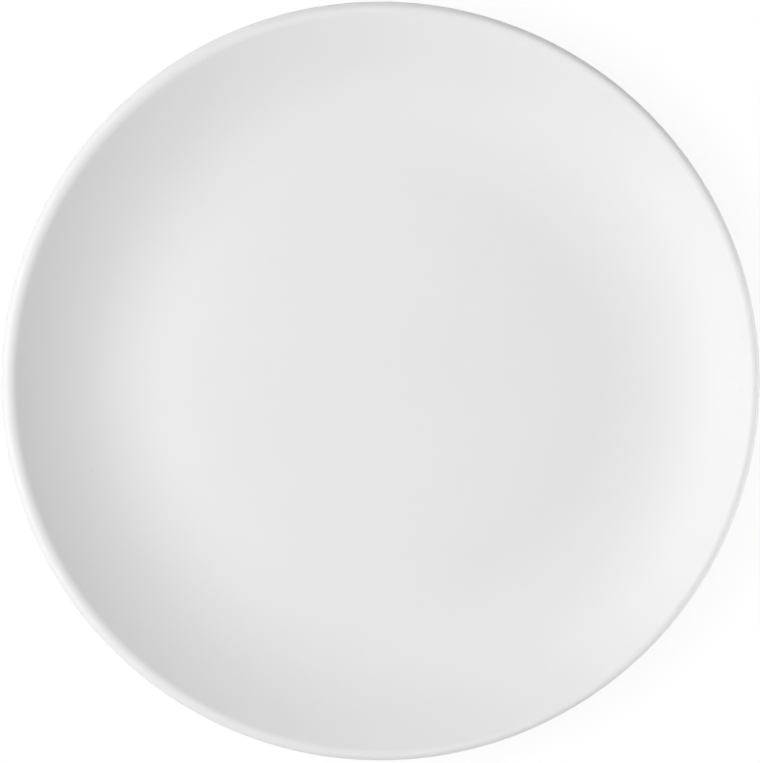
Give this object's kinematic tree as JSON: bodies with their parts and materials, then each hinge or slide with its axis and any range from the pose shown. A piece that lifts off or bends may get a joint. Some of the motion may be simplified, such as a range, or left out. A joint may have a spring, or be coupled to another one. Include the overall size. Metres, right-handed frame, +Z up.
{
  "type": "coupe dinner plate",
  "caption": "Round rimless coupe dinner plate in plain white glazed porcelain: crowned well, wall swept up to a rolled lip, and a bare foot ring to stand on.",
  "frame": {"origin": "centre of the foot ring, on the plane of its bearing face", "axes": "+Z up along the plate's axis, X and Y any two directions across it"},
  "size_m": [0.27, 0.27, 0.026],
  "materials": {
    "porcelain": "bare, matte and finely grained",
    "glaze": "satin gloss"
  },
  "bodies": {
    "root": {"porcelain_body": "porcelain", "glaze_coat": "glaze", "foot_well_glaze": "glaze"}
  },
  "joints": []
}
